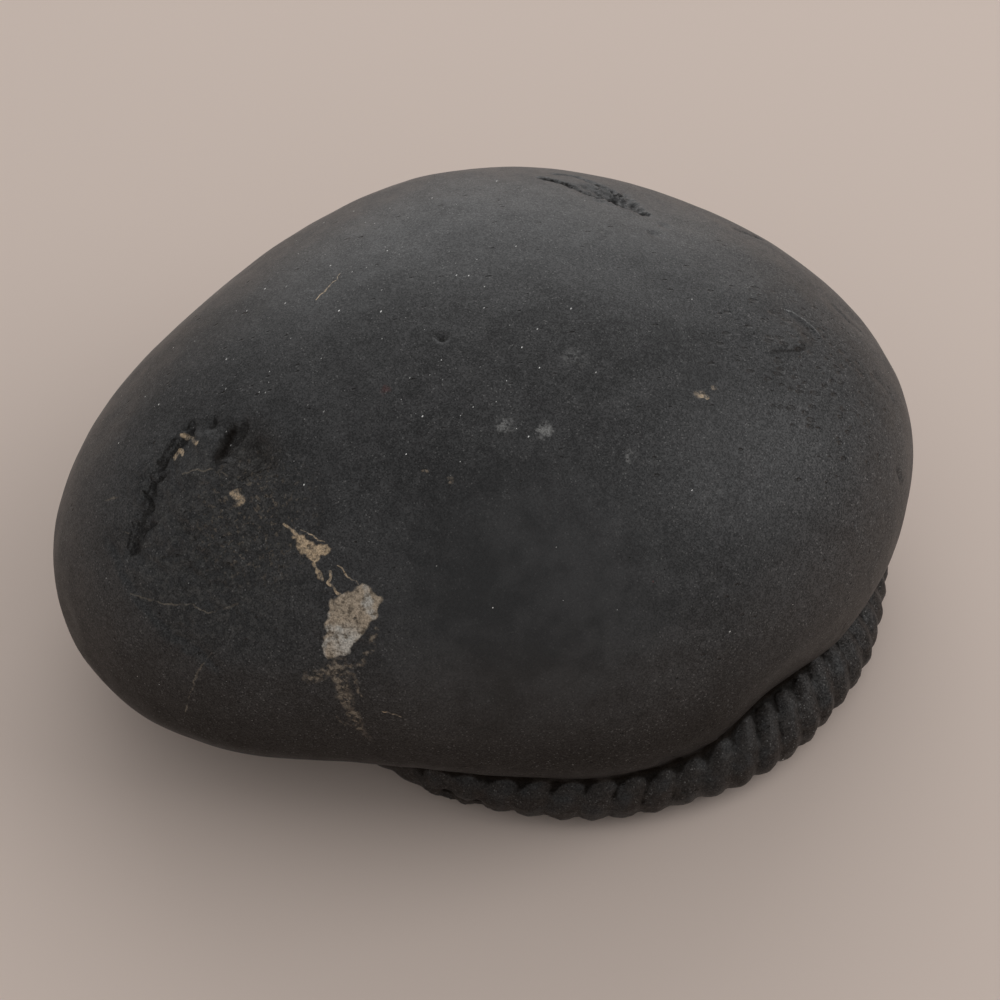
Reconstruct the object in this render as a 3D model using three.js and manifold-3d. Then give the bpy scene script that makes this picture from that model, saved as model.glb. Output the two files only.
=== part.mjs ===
// Water-worn nodule with an ammonite in its underside: one stone, resting on the fossil.
// Millimetres, +Z up. +X is the long axis, with the broad end of the nodule towards it.
// The origin is at the middle of the stone's footprint, on the plane it rests on.
import * as THREE from 'three';
import { mergeVertices } from 'three/addons/utils/BufferGeometryUtils.js';
import Module from 'manifold-3d';

// ---- nodule: an egg in plan, a high dome above its widest level, a flatter belly below it
const halfLength = 55.5;
const halfWidth = 44.5;
const widestHeight = 22;      // level of the widest outline
const domeRise = 33;          // from there to the crown
const bellyDrop = 22;         // from there to the belly
const broadening = 0.11;      // how much wider the +X end is than the -X end
const domeSquareness = 2.05;  // 2 is an ellipse
const bellySquareness = 2.6;  // fuller at the edge and flatter underneath
const noduleDetail = 13;      // subdivisions of each face of the starting icosahedron

// Where the worn surface stands out from that egg or falls short of it. bearing and lift are the
// way it faces, in degrees from +X and from level; spread is in degrees and rise is in mm.
const swells = {
  broadEnd: { bearing: -15, lift: 0, spread: 20, rise: 1.5 },
  broadShoulder: { bearing: 35, lift: 32, spread: 20, rise: -2 },
  broadLowFlank: { bearing: -38, lift: -20, spread: 20, rise: -2 },
  narrowShoulder: { bearing: 135, lift: 22, spread: 20, rise: -3.5 },
  narrowEnd: { bearing: 172, lift: 5, spread: 20, rise: -1 },
  narrowCheek: { bearing: -165, lift: -22, spread: 20, rise: 2 },
  narrowHeel: { bearing: -142, lift: -36, spread: 20, rise: 2 },
  frontFlat: { bearing: -113, lift: -40, spread: 20, rise: -4 },
  frontLip: { bearing: -80, lift: -36, spread: 20, rise: 2 },
  hiddenFoot: { bearing: 150, lift: -62, spread: 15, rise: 1.7 },
};

// ---- scoop: where the matrix has broken and worn away from round the fossil. It runs out
// through the front and the broad end, where its edge is the lip over the shell's rim.
const scoopMiddle = new THREE.Vector3(24, -16, -6);
const scoopSize = new THREE.Vector3(46, 50, 15);
const scoopSquareness = 4;
const scoopDetail = 7;

// ---- ammonite: an open planispiral shell lying flat, its mouth at the front left
const pole = new THREE.Vector3(15.2, -2.7, 4.45);  // middle of the coil
const mouthBearing = THREE.MathUtils.degToRad(-150);
const mouthRadius = 34.6;     // pole to the middle of the tube at the mouth
const growth = 1.55;          // how much the tube grows in one whorl
const whorls = 2.5;
const coilTilt = THREE.MathUtils.degToRad(0.95);  // levels the thick mouth with the thin far side
const rimReach = 0.27;        // tube's middle to its outer rim, over its radius
const innerReach = 0.165;     // tube's middle to its inner side, over its radius
const tubeThickness = 0.15;   // half thickness of the tube, over its radius
const ribsPerWhorl = 72;      // at the rim; they join in pairs towards the middle
const ribHeight = 0.009;      // crest above the tube's mean surface, over its radius
const ribFade = [-0.6, 0.2];  // cosine of the side where a rib starts, and where it is full
const ribSweep = 0.13;        // how far ahead a rib runs at the rim, in radians of coil
const ribSweepPeak = THREE.MathUtils.degToRad(-20);  // side of the tube where it is furthest ahead
const tubeSides = 12;

// ---- matrix left between the turns of the coil: a disc that their inner sides sink into
const webRadius = 30;
const webBottom = 4.5;
const webTop = 12;
const webSides = 48;

const wornBlock = 200;        // wider than the stone: what wear has taken off below z = 0
const weldGap = 0.001;        // vertices nearer than this are one vertex

const wasm = await Module();
wasm.setup();

// A closed geometry as a manifold-3d solid.
function toSolid(geometry) {
  const bare = geometry.clone();
  for (const name of Object.keys(bare.attributes)) {
    if (name !== 'position') bare.deleteAttribute(name);
  }
  const welded = mergeVertices(bare, weldGap);
  return new wasm.Manifold(new wasm.Mesh({
    numProp: 3,
    vertProperties: new Float32Array(welded.attributes.position.array),
    triVerts: new Uint32Array(welded.index.array),
  }));
}

// Welds slivers away and drops the tiny pockets that joining can seal inside, until nothing
// changes, so that the stone is solid throughout.
function withoutPockets(solid) {
  const pieces = toSolid(toGeometry(solid)).decompose();
  const largest = pieces.reduce((most, piece) => (piece.volume() > most.volume() ? piece : most));
  return largest.numTri() === solid.numTri() ? largest : withoutPockets(largest);
}

// A manifold-3d solid as a three.js geometry.
function toGeometry(solid) {
  const mesh = solid.getMesh();
  const geometry = new THREE.BufferGeometry();
  geometry.setAttribute('position', new THREE.BufferAttribute(mesh.vertProperties.slice(), 3));
  geometry.setIndex(new THREE.BufferAttribute(mesh.triVerts.slice(), 1));
  return geometry;
}

// Moves every vertex of a geometry to place(direction), given its unit direction from the middle.
function shape(geometry, place) {
  const positions = geometry.attributes.position;
  const point = new THREE.Vector3();
  for (let i = 0; i < positions.count; i++) {
    point.fromBufferAttribute(positions, i).normalize();
    place(point);
    positions.setXYZ(i, point.x, point.y, point.z);
  }
  return geometry;
}

function bearingAndLift(bearing, lift) {
  const b = THREE.MathUtils.degToRad(bearing);
  const l = THREE.MathUtils.degToRad(lift);
  return new THREE.Vector3(Math.cos(b) * Math.cos(l), Math.sin(b) * Math.cos(l), Math.sin(l));
}

// Moves a point of the unit ball out to a ball whose upright sections are squarer than a circle.
function squared(point, squareness) {
  const level = Math.hypot(point.x, point.y);
  const out = level > 0 ? level ** (2 / squareness - 1) : 0;
  const up = Math.sign(point.z) * Math.abs(point.z) ** (2 / squareness);
  return point.set(point.x * out, point.y * out, up);
}

function makeNodule() {
  const places = Object.values(swells).map((swell) => ({
    facing: bearingAndLift(swell.bearing, swell.lift),
    spread: THREE.MathUtils.degToRad(swell.spread),
    rise: swell.rise,
  }));
  return shape(new THREE.IcosahedronGeometry(1, noduleDetail), (point) => {
    const facing = point.clone();
    const bearing = Math.atan2(facing.y, facing.x);
    squared(point, facing.z > 0 ? domeSquareness : bellySquareness);
    point.x *= halfLength;
    point.y *= halfWidth * (1 + broadening * Math.cos(bearing));
    point.z = widestHeight + point.z * (facing.z > 0 ? domeRise : bellyDrop);
    for (const { facing: centre, spread, rise } of places) {
      const away = facing.angleTo(centre) / spread;
      point.addScaledVector(facing, rise * Math.exp(-away * away / 2));
    }
  });
}

function makeScoop() {
  return shape(new THREE.IcosahedronGeometry(1, scoopDetail), (point) => {
    squared(point, scoopSquareness).multiply(scoopSize).add(scoopMiddle);
  });
}

function makeWeb() {
  const disc = new THREE.CylinderGeometry(webRadius, webRadius, webTop - webBottom, webSides);
  disc.rotateX(Math.PI / 2);
  return disc.translate(pole.x, pole.y, (webTop + webBottom) / 2);
}

// A point on the ribbed tube: turned is how far back from the mouth, side is the way round the
// tube from its outer rim, upwards first. Ribs are full on the rim and fade into the inner side.
function tubePoint(turned, side, ribs) {
  const radius = mouthRadius * growth ** (-turned / (2 * Math.PI));
  const ahead = ribSweep * (1 + Math.cos(side - ribSweepPeak)) / 2;
  const fade = THREE.MathUtils.smoothstep(Math.cos(side), ...ribFade);
  const rib = radius * ribHeight * fade * Math.cos(ribs * (turned + ahead));
  const reach = radius * (Math.cos(side) > 0 ? rimReach : innerReach) + rib;
  const thickness = radius * tubeThickness + rib;
  const bearing = mouthBearing + turned;
  const out = radius + reach * Math.cos(side);
  return new THREE.Vector3(
    pole.x + out * Math.cos(bearing),
    pole.y + out * Math.sin(bearing),
    pole.z + thickness * Math.sin(side),
  );
}

// Where the tube's sections stand: a crest and a groove for each rib, and for each pair of ribs
// inside the outer whorl, which is as fine as the small whorls need.
function tubeSections() {
  const sections = [];
  const whorl = 2 * Math.PI;
  for (let turned = 0; turned < whorls * whorl;) {
    const ribs = turned < whorl ? ribsPerWhorl : ribsPerWhorl / 2;
    sections.push({ turned, ribs });
    turned += whorl / ribs / 2;
  }
  return sections;
}

// The coiled tube, closed by a flat end at the mouth and at its first turn.
function makeAmmonite() {
  const sections = tubeSections();
  const points = [];
  const faces = [];
  for (const { turned, ribs } of sections) {
    for (let j = 0; j < tubeSides; j++) {
      points.push(...tubePoint(turned, j / tubeSides * 2 * Math.PI, ribs).toArray());
    }
  }
  const last = (sections.length - 1) * tubeSides;
  for (let start = 0; start < last; start += tubeSides) {
    for (let j = 0; j < tubeSides; j++) {
      const a = start + j;
      const b = start + (j + 1) % tubeSides;
      faces.push(a, b + tubeSides, b, a, a + tubeSides, b + tubeSides);
    }
  }
  for (let j = 1; j < tubeSides - 1; j++) {
    faces.push(0, j, j + 1, last, last + j + 1, last + j);
  }
  const geometry = new THREE.BufferGeometry();
  geometry.setAttribute('position', new THREE.Float32BufferAttribute(points, 3));
  geometry.setIndex(faces);
  return geometry.translate(-pole.x, -pole.y, -pole.z)
    .applyMatrix4(new THREE.Matrix4().makeRotationAxis(tiltAxis(), coilTilt))
    .translate(pole.x, pole.y, pole.z);
}

// Level, and square to the line from the pole to the mouth.
function tiltAxis() {
  return new THREE.Vector3(Math.sin(mouthBearing), -Math.cos(mouthBearing), 0);
}

// Wears away what reaches below z = 0, which leaves the flats that the stone rests on: one on the
// hidden foot, and one on the underside of each low rib.
function wearFlat(solid) {
  const below = new THREE.BoxGeometry(wornBlock, wornBlock, wornBlock);
  below.translate(0, 0, -wornBlock / 2);
  return solid.subtract(toSolid(below));
}

function makeStone() {
  const matrix = toSolid(makeNodule()).subtract(toSolid(makeScoop()));
  const whole = wearFlat(matrix.add(toSolid(makeWeb())).add(toSolid(makeAmmonite())));
  const { min, max } = whole.boundingBox();
  const geometry = toGeometry(whole).translate(-(min[0] + max[0]) / 2, -(min[1] + max[1]) / 2, 0);
  return toGeometry(withoutPockets(toSolid(geometry)));
}

const stone = new THREE.Mesh(
  makeStone(),
  new THREE.MeshStandardMaterial({ color: 0x353435, roughness: 0.75, metalness: 0 }),
);
stone.name = 'ammonite_nodule';

const part = new THREE.Group();
part.add(stone);
export default part;
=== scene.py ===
import math
import bpy
import numpy as np
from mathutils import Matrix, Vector, noise
from mathutils.bvhtree import BVHTree


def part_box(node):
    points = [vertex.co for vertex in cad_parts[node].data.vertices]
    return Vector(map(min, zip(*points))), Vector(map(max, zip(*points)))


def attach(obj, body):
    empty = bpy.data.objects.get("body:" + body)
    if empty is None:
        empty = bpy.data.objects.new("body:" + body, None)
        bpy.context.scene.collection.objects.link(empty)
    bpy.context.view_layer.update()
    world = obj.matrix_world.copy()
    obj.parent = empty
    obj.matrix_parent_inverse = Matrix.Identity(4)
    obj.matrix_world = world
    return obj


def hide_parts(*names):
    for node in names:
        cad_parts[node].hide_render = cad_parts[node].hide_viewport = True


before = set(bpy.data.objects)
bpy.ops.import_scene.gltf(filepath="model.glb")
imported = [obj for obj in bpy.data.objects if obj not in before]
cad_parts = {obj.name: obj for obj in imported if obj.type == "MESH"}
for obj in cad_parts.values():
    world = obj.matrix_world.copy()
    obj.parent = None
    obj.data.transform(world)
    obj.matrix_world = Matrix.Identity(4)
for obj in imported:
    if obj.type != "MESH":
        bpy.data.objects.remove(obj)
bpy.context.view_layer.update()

stoneLow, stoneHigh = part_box("ammonite_nodule")
mm = 0.001
degree = math.pi / 180


# ---- small helpers for working by hand in code

def pickOnly(piece):
    bpy.ops.object.select_all(action="DESELECT")
    piece.select_set(True)
    bpy.context.view_layer.objects.active = piece


def finishWith(piece, kind, **settings):
    pickOnly(piece)
    step = piece.modifiers.new(kind.lower(), kind)
    for name, value in settings.items():
        setattr(step, name, value)
    bpy.ops.object.modifier_apply(modifier=step.name)


def pointsOf(piece):
    points = np.empty(len(piece.data.vertices) * 3)
    piece.data.vertices.foreach_get("co", points)
    return points.reshape(-1, 3)


def editPicked(piece, picked):
    # leaves the piece in edit mode with only the picked vertices selected
    pickOnly(piece)
    bpy.ops.object.mode_set(mode="EDIT")
    bpy.ops.mesh.select_mode(type="VERT")
    bpy.ops.mesh.select_all(action="DESELECT")
    bpy.ops.object.mode_set(mode="OBJECT")
    piece.data.vertices.foreach_set("select", np.asarray(picked, bool))
    bpy.ops.object.mode_set(mode="EDIT")


def editAll(piece):
    pickOnly(piece)
    bpy.ops.object.mode_set(mode="EDIT")
    bpy.ops.mesh.select_all(action="SELECT")


def leaveEdit():
    bpy.ops.object.mode_set(mode="OBJECT")


def turnAbout(angle, centre, axis="Z"):
    # with no window the operator turns the other way
    bpy.ops.transform.rotate(value=-angle, orient_axis=axis, center_override=centre)


def squareUp(ball, middle, upper, lower):
    # draws each level of a unit ball out and up, to a squarer profile: 2 leaves it round
    level = np.round(pointsOf(ball)[:, 2] - middle[2], 5)
    for z in np.unique(level)[1:-1]:
        power = 2 / (upper if z > 0 else lower) - 1
        wider = math.sqrt(1 - z * z) ** power
        higher = abs(z) ** power if z else 1
        editPicked(ball, level == z)
        bpy.ops.transform.resize(value=(wider, wider, higher), center_override=middle)
        leaveEdit()


# ---- nodule: a ball drawn out to an egg with a flatter belly, then pushed and pulled

nodule = {
    "middle": (-0.25 * mm, 0.1 * mm, 22 * mm),
    "halfLength": 55.5 * mm,
    "halfWidth": 44.5 * mm,
    "domeRise": 33 * mm,
    "bellyDrop": 22 * mm,
    "broadening": 0.11,       # how much wider the +X end is
    "domeSquareness": 2.05,   # 2 is an ellipse
    "bellySquareness": 2.6,
    "segments": 192,
    "rings": 96,
    "reach": 0.95,            # of a push or pull, over the distance from the middle
}

# bearing and lift of the place in degrees, and how far it stands out
pushes = {
    "broad end": (-15, 0, 1.7 * mm),
    "broad shoulder": (35, 32, -1.9 * mm),
    "broad low flank": (-38, -20, -1.4 * mm),
    "narrow shoulder": (135, 22, -3.1 * mm),
    "narrow end": (172, 5, -1.4 * mm),
    "narrow cheek": (-165, -22, 1.9 * mm),
    "narrow heel": (-142, -36, 1.5 * mm),
    "front flat": (-113, -40, -2.7 * mm),
    "front lip": (-80, -36, 1.9 * mm),
    "hidden foot": (150, -62, 1.7 * mm),
}

# the same with a shorter reach, in mm
dents = {
    "over the ribs": (-58, -18, -1.6 * mm, 12 * mm),
}

def makeNodule():
    middle = Vector(nodule["middle"])
    bpy.ops.object.select_all(action="DESELECT")
    bpy.ops.mesh.primitive_uv_sphere_add(segments=nodule["segments"], ring_count=nodule["rings"], radius=1,
                                         location=middle)
    piece = bpy.context.object
    piece.name = "nodule"
    bpy.ops.object.transform_apply(location=True, rotation=True, scale=True)
    facing = pointsOf(piece) - np.array(middle)
    level = np.round(facing[:, 2], 5)
    bearing = np.round(np.abs(np.arctan2(facing[:, 1], facing[:, 0])), 5)
    bearing[np.abs(level) > 0.9999] = 0

    squareUp(piece, middle, nodule["domeSquareness"], nodule["bellySquareness"])
    # widen towards the broad end, a pair of meridians at a time
    for angle in np.unique(bearing):
        editPicked(piece, bearing == angle)
        bpy.ops.transform.resize(value=(1, 1 + nodule["broadening"] * math.cos(angle), 1), center_override=middle)
        leaveEdit()
    for top, height in ((True, nodule["domeRise"]), (False, nodule["bellyDrop"])):
        editPicked(piece, (level > 0) == top)
        bpy.ops.transform.resize(value=(1, 1, height), center_override=middle)
        leaveEdit()
    editAll(piece)
    bpy.ops.transform.resize(value=(nodule["halfLength"], nodule["halfWidth"], 1), center_override=middle)
    leaveEdit()

    for bearing, lift, rise, *reach in (*pushes.values(), *dents.values()):
        bearing, lift = bearing * degree, lift * degree
        way = Vector((math.cos(bearing) * math.cos(lift), math.sin(bearing) * math.cos(lift), math.sin(lift)))
        nearest = int(np.argmax(facing @ np.array(way)))
        away = (piece.data.vertices[nearest].co - middle).length
        editPicked(piece, np.arange(len(facing)) == nearest)
        bpy.ops.transform.translate(value=way * rise, use_proportional_edit=True, proportional_edit_falloff="SMOOTH",
                                    proportional_size=reach[0] if reach else away * nodule["reach"])
        leaveEdit()
    return piece


# ---- scoop: the hollow worn round the shell, cut out of the nodule

scoop = {
    "middle": (23.75 * mm, -15.9 * mm, -7.2 * mm),
    "reach": (46 * mm, 50 * mm, 15 * mm),
    "squareness": 4,
    "rings": 48,
}

def cutScoop(piece):
    bpy.ops.object.select_all(action="DESELECT")
    bpy.ops.mesh.primitive_uv_sphere_add(segments=96, ring_count=scoop["rings"], radius=1, location=scoop["middle"])
    cutter = bpy.context.object
    bpy.ops.object.transform_apply(location=True, rotation=True, scale=True)
    squareUp(cutter, Vector(scoop["middle"]), scoop["squareness"], scoop["squareness"])
    editAll(cutter)
    bpy.ops.transform.resize(value=scoop["reach"], center_override=scoop["middle"])
    leaveEdit()
    finishWith(piece, "BOOLEAN", object=cutter, operation="DIFFERENCE", solver="EXACT")
    bpy.data.objects.remove(cutter)


# ---- shell: one pair of ribs, repeated and shrunk round the pole

shell = {
    "pole": (14.95 * mm, -2.6 * mm, 4.45 * mm),
    "mouthBearing": -150 * degree,
    "mouthRadius": 34.6 * mm,
    "growth": 1.55,           # in one whorl
    "whorls": 5,
    "ribsPerWhorl": 66,
    "rimReach": 0.27,         # middle of the tube to its rim, over its radius
    "innerReach": 0.165,
    "thickness": 0.15,
    "ribHeight": 1.7 * mm,
    "crests": ((0.6, 1), (0.93, 2), (1, 3), (0.93, 4), (0.6, 5)),   # height and section in each rib
    "ribStart": -0.3,         # cosine of the side of the tube where a rib starts
    "ribSweep": 0.15,         # radians that a rib runs ahead at the rim
    "ribSweepPeak": -20 * degree,
    "tilt": 0.95 * degree,
    "sides": 24,
    "steps": 6,               # sections in one rib
    "bulges": ((-12, 1.1 * mm, 13 * mm), (-52, -0.5 * mm, 9 * mm)),   # bearing, rise and reach of a push at the rim
}

def makeShell():
    sides, steps = shell["sides"], shell["steps"] * 2
    radius = shell["mouthRadius"]
    turn = 2 * math.pi / shell["ribsPerWhorl"] * 2       # one pair of ribs
    shrink = shell["growth"] ** (-turn / (2 * math.pi))
    bpy.ops.object.select_all(action="DESELECT")
    bpy.ops.mesh.primitive_circle_add(vertices=sides, radius=1, location=(radius, 0, 0), rotation=(math.pi / 2, 0, 0))
    piece = bpy.context.object
    piece.name = "shell"
    bpy.ops.object.transform_apply(location=True, rotation=True, scale=True)
    middle = (radius, 0, 0)
    points = pointsOf(piece)
    side = np.arctan2(points[:, 2], points[:, 0] - radius)
    editPicked(piece, points[:, 0] >= radius)
    bpy.ops.transform.resize(value=(shell["rimReach"] * radius, 1, 1), center_override=middle)
    leaveEdit()
    editPicked(piece, points[:, 0] < radius)
    bpy.ops.transform.resize(value=(shell["innerReach"] * radius, 1, 1), center_override=middle)
    bpy.ops.mesh.select_all(action="SELECT")
    bpy.ops.transform.resize(value=(1, 1, shell["thickness"] * radius), center_override=middle)

    # carry the section round the pole, step by step
    for step in range(steps):
        bpy.ops.mesh.extrude_region_move()
        turnAbout(turn / steps, (0, 0, 0))
        bpy.ops.transform.resize(value=[shrink ** (1 / steps)] * 3, center_override=(0, 0, 0))
    leaveEdit()

    # raise the crests: a rib to each half on the rim and the outer sides, one for the pair further in
    bearing = np.arctan2(pointsOf(piece)[:, 1], pointsOf(piece)[:, 0])
    section = np.rint(bearing / turn * steps).astype(int)
    column = np.tile(side, steps + 1)
    half = shell["steps"]
    for rise, where in shell["crests"]:
        for start in (0, half):
            editPicked(piece, (section == start + where) & (np.cos(column) > shell["ribStart"]))
            bpy.ops.transform.shrink_fatten(value=rise * shell["ribHeight"])
            leaveEdit()
    for where in range(1, steps):
        rise = math.sin(math.pi * where / steps) * shell["ribHeight"]
        editPicked(piece, (section == where) & (np.cos(column) < shell["ribStart"]) & (np.cos(column) > -0.8))
        bpy.ops.transform.shrink_fatten(value=rise)
        leaveEdit()

    # lean the ribs: each line of points along the tube is turned and grown ahead
    for angle in side:
        ahead = shell["ribSweep"] * (1 + math.cos(angle - shell["ribSweepPeak"])) / 2
        editPicked(piece, np.isclose(column, angle))
        turnAbout(-ahead, (0, 0, 0))
        bpy.ops.transform.resize(value=[shell["growth"] ** (ahead / (2 * math.pi))] * 3, center_override=(0, 0, 0))
        leaveEdit()

    # repeat the pair round the pole, each a little smaller
    bpy.ops.object.empty_add(location=(0, 0, 0), rotation=(0, 0, turn))
    pitch = bpy.context.object
    pitch.scale = [shrink] * 3
    bpy.context.view_layer.update()
    finishWith(piece, "ARRAY", count=round(shell["whorls"] * shell["ribsPerWhorl"] / 2), use_relative_offset=False,
               use_object_offset=True, offset_object=pitch, use_merge_vertices=True, merge_threshold=0.02 * mm)
    bpy.data.objects.remove(pitch)
    editAll(piece)
    bpy.ops.mesh.select_all(action="DESELECT")
    bpy.ops.mesh.select_non_manifold()
    bpy.ops.mesh.edge_face_add()
    bpy.ops.mesh.select_all(action="SELECT")
    bpy.ops.mesh.normals_make_consistent(inside=False)

    # turn the mouth to its bearing, level the coil and lay it in place
    mouth = shell["mouthBearing"]
    turnAbout(mouth, (0, 0, 0))
    across = (math.sin(mouth), -math.cos(mouth), 0)
    leaveEdit()
    for bearing, rise, reach in shell["bulges"]:
        way = Vector((math.cos(bearing * degree), math.sin(bearing * degree), 0))
        points = pointsOf(piece)
        rim = int(np.argmax(points @ np.array(way) - 2 * np.abs(points @ np.array(way.cross((0, 0, 1))))))
        editPicked(piece, np.arange(len(points)) == rim)
        bpy.ops.transform.translate(value=way * rise, use_proportional_edit=True, proportional_edit_falloff="SMOOTH",
                                    proportional_size=reach)
        leaveEdit()
    piece.rotation_mode = "AXIS_ANGLE"
    piece.rotation_axis_angle = (shell["tilt"], *across)
    piece.location = shell["pole"]
    bpy.ops.object.transform_apply(location=True, rotation=True, scale=True)
    return piece


# ---- matrix between the turns of the coil

web = {"radius": 30 * mm, "bottom": 4.5 * mm, "top": 12 * mm}

def makeWeb():
    height = web["top"] - web["bottom"]
    x, y, _ = shell["pole"]
    bpy.ops.object.select_all(action="DESELECT")
    bpy.ops.mesh.primitive_cylinder_add(vertices=64, radius=web["radius"], depth=height,
                                        location=(x, y, web["bottom"] + height / 2))
    return bpy.context.object


# ---- one stone out of the three

weld = {
    "voxel": 0.4 * mm,
    "cornerUp": 4 * mm,       # how far the worn corner reaches up the body
    "cornerOut": 1 * mm,      # and out over the ribs
    "cornerPasses": 90,
    "triangles": 190000,
}

def gapsTo(tree, points):
    return np.array([tree.find_nearest(point)[3] for point in points])


def cornerOf(points, bodyTree, coilTree):
    # 1 where body and coil meet, less with the distance from either
    corner = np.zeros(len(points))
    low = np.flatnonzero((points[:, 2] < 20 * mm) & (points[:, 2] > 1 * mm))
    up = 1 - smooth(gapsTo(coilTree, points[low]) / weld["cornerUp"])
    out = 1 - smooth(gapsTo(bodyTree, points[low]) / weld["cornerOut"])
    corner[low] = up * out
    return corner


def weldStone(body, coil, matrix):
    depsgraph = bpy.context.evaluated_depsgraph_get()
    trees = BVHTree.FromObject(body, depsgraph), BVHTree.FromObject(coil, depsgraph)
    pickOnly(body)
    coil.select_set(True)
    matrix.select_set(True)
    bpy.ops.object.join()
    finishWith(body, "REMESH", mode="VOXEL", voxel_size=weld["voxel"])
    editAll(body)
    bpy.ops.mesh.bisect(plane_co=(0, 0, 0), plane_no=(0, 0, 1), use_fill=True, clear_inner=True)
    leaveEdit()
    # the corner between body and coil is filled and worn
    weigh(body, cornerOf(pointsOf(body), *trees))
    finishWith(body, "SMOOTH", factor=0.7, iterations=weld["cornerPasses"], vertex_group="weight")
    return trees


def smooth(value):
    value = np.clip(value, 0, 1)
    return value * value * (3 - 2 * value)


def weigh(piece, weight):
    # one vertex group named weight, made anew each time
    piece.vertex_groups.clear()
    group = piece.vertex_groups.new(name="weight")
    for vertex in np.flatnonzero(weight > 0.003):
        group.add([int(vertex)], float(weight[vertex]), "REPLACE")


stone = makeNodule()
print("nodule drawn on")
cutScoop(stone)
print("scoop cut")
coil = makeShell()
print("shell coiled", len(coil.data.vertices))
trees = weldStone(stone, coil, makeWeb())
stone.name = "water_worn_nodule"
print("welded", len(stone.data.polygons), "faces")


# ---- wear: what knocks and weather have taken off, places in mm

# an edge on one side, and a floor that rises again on the other
ledges = {
    "hollow scarp": {"path": ((-34.8, -5.3, 46.6), (-36.7, -4, 46.2), (-38.6, -4.8, 45.2), (-41.6, -6.5, 43),
                              (-43.3, -8.3, 41.5), (-44.5, -10.2, 40), (-46.1, -11.1, 38.2), (-47.3, -13.1, 36)),
                     "towards": (0.6, -0.8, 0.1), "depth": 1, "edge": 0.6, "fade": 3.5, "ends": 2, "stray": 0.5},
    "slot": {"path": ((-31.7, -7.8, 47.9), (-33.2, -8.3, 46.9), (-34.7, -9.8, 46.1)),
             "towards": (0.8, -0.6, 0.1), "depth": 1.5, "edge": 0.8, "fade": 1.8, "ends": 1.6, "stray": 0.05},
    "dent edge": {"path": ((-31.7, -7.6, 48.1), (-30.5, -9, 48.3), (-29.4, -10.8, 48.6), (-28.8, -12.5, 48.4),
                           (-28.6, -14.6, 47.9)),
                  "towards": (-0.81, -0.32, -0.47), "depth": 0.4, "edge": 1.6, "fade": 3, "ends": 2, "stray": 0.3},
    "raised chip": {"path": ((33, -12.2, 47.6), (35, -11.7, 46.8), (37.1, -11.1, 45.7), (38.4, -10.6, 45)),
                    "towards": (-0.21, 0.93, 0.25), "depth": -0.4, "edge": 0.5, "fade": 3.5, "ends": 2,
                    "stray": 0.15},
    "spall": {"path": ((38.7, -4.3, 45.3), (39.4, -4.7, 45.1), (40.9, -5.9, 44.1), (41.6, -7.5, 43.6)),
              "towards": (-0.68, -0.54, 0.49), "depth": 0.3, "edge": 0.8, "fade": 2, "ends": 1.5, "stray": 0.1},
    "hollow brim": {"path": ((-49, -12.8, 34), (-47.6, -18.2, 31.7), (-46.1, -21, 30.9), (-44.3, -23.5, 30),
                             (-41.6, -26.5, 29.3)),
                    "towards": (0.6, 0, 0.8), "depth": 0.5, "edge": 1, "fade": 4.5, "ends": 4, "stray": 0.6},
    "edge spall": {"path": ((47.5, 0.8, 39.2), (48.6, -0.8, 38.2), (50.2, -1.4, 36.6)),
                   "towards": (-0.5, -0.4, 0.75), "depth": 0.2, "edge": 0.4, "fade": 1.5, "ends": 1.5, "stray": 0.3},
}

# cracks and pits: a path of one place is a pit
cracks = {
    "thumb dent": {"path": ((-31.6, -11, 47.6), (-31, -13, 47.3)), "depth": 0.8, "reach": 4.2},
    "line under the dent": {"path": ((-33.3, -14.4, 45.5), (-31.8, -14.6, 46.3), (-28.7, -15.1, 47.6)),
                            "depth": 0.3, "reach": 0.6},
    "step": {"path": ((-44, -8.9, 40.8), (-43.7, -9.9, 40.2), (-43.4, -10.8, 39.5)), "depth": 0.4, "reach": 0.7},
    "shelf": {"path": ((-46.5, -11.9, 37.5), (-45.5, -12.5, 37.5), (-43.6, -12.5, 38.6)), "depth": 0.4, "reach": 0.7},
    "top crack": {"path": ((14.6, 25.1, 48), (17.7, 22.1, 48.6), (19.3, 19.3, 48.9), (21.5, 18, 48.5),
                           (25.2, 14, 48.6)), "depth": 0.6, "reach": 0.8},
    "top crack, further edge": {"path": ((17, 26.9, 46.4), (19.7, 26.4, 45.9), (21.5, 23.2, 47), (24.5, 18.7, 47.7),
                                         (25.3, 14.3, 48.7)), "depth": 0.4, "reach": 0.7},
    "top crack, middle": {"path": ((20, 21.5, 48), (24, 16.5, 48.4)), "depth": 0.45, "reach": 2},
    "scar by the rim": {"path": ((48.3, -10.6, 37.7), (50.3, -12.2, 34.8)), "depth": 0.15, "reach": 1},
    "rim scratch": {"path": ((38.3, 14.8, 42.2), (41.6, 14.8, 39.9)), "depth": 0.25, "reach": 0.8},
    "summit pit": {"path": ((-6.6, -6.3, 54.4), (-5.9, -6.4, 54.4)), "depth": 0.5, "reach": 0.8},
    "far pit": {"path": ((24.7, 8.8, 50.1),), "depth": 0.3, "reach": 1},
    "next far pit": {"path": ((27.1, 11.2, 48.8),), "depth": 0.2, "reach": 0.9},
    "end notch": {"path": ((48.4, -21, 31.1), (48.6, -21.4, 29.8)), "depth": 0.3, "reach": 0.9},
    "pit over the ribs": {"path": ((25.4, -41.6, 19.3),), "depth": 0.4, "reach": 0.9},
}

# flats rubbed on the stone: what stands above a plane is ground away in part
flats = {
    "hollow floor": {"place": (-36.7, -21.1, 40.3), "facing": (-0.5, -0.52, 0.69), "radius": 14, "share": 0.6},
}

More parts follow.
